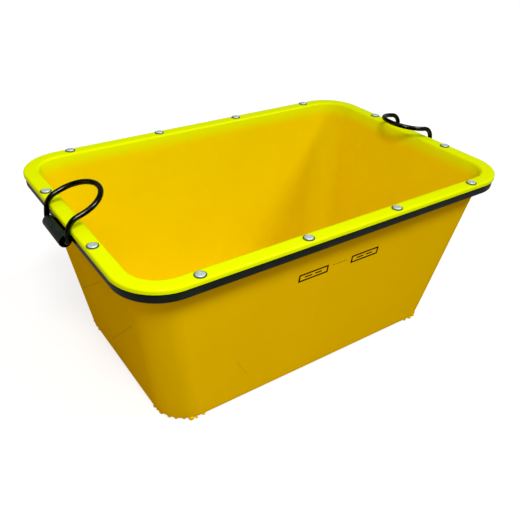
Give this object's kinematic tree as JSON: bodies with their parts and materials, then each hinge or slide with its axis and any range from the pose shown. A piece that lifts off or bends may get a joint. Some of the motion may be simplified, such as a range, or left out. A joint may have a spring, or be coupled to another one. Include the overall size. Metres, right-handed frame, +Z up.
{
  "type": "mortar mixing tub",
  "caption": "Rectangular glass-fibre mortar tub with tapered walls, riveted to a square-tube steel rim frame, with hinged crane handles in pipe sleeves at both ends.",
  "frame": {"origin": "on the ground plane, under the centre of the tub", "axes": "+X along the tub's length, +Y across its width, +Z up"},
  "size_m": [1.049, 0.668, 0.4983],
  "materials": {
    "tub_yellow": "glossy gelcoat",
    "frame_black": "satin black paint",
    "handle_black": "semi-gloss black paint",
    "zinc_hardware": "bright zinc plate"
  },
  "bodies": {
    "tub": {"tub_shell": "tub_yellow", "rim_frame": "frame_black", "sleeve_left": "frame_black", "sleeve_right": "frame_black", "washer_front_1": "zinc_hardware", "washer_front_2": "zinc_hardware", "washer_front_3": "zinc_hardware", "washer_front_4": "zinc_hardware", "washer_back_1": "zinc_hardware", "washer_back_2": "zinc_hardware", "washer_back_3": "zinc_hardware", "washer_back_4": "zinc_hardware", "washer_left_1": "zinc_hardware", "washer_left_2": "zinc_hardware", "washer_right_1": "zinc_hardware", "washer_right_2": "zinc_hardware", "rivet_front_1": "zinc_hardware", "rivet_front_2": "zinc_hardware", "rivet_front_3": "zinc_hardware", "rivet_front_4": "zinc_hardware", "rivet_back_1": "zinc_hardware", "rivet_back_2": "zinc_hardware", "rivet_back_3": "zinc_hardware", "rivet_back_4": "zinc_hardware", "rivet_left_1": "zinc_hardware", "rivet_left_2": "zinc_hardware", "rivet_right_1": "zinc_hardware", "rivet_right_2": "zinc_hardware"},
    "handle_left": {"handle_left": "handle_black"},
    "handle_right": {"handle_right": "handle_black"}
  },
  "joints": [
    {"name": "handle_left_swing", "type": "hinge", "parent": "tub", "child": "handle_left", "pos_m": [-0.511, 0, 0.4152], "axis": [0, -1, 0], "range_deg": [0, 230]},
    {"name": "handle_right_swing", "type": "hinge", "parent": "tub", "child": "handle_right", "pos_m": [0.511, 0, 0.4152], "axis": [0, 1, 0], "range_deg": [0, 230]}
  ]
}
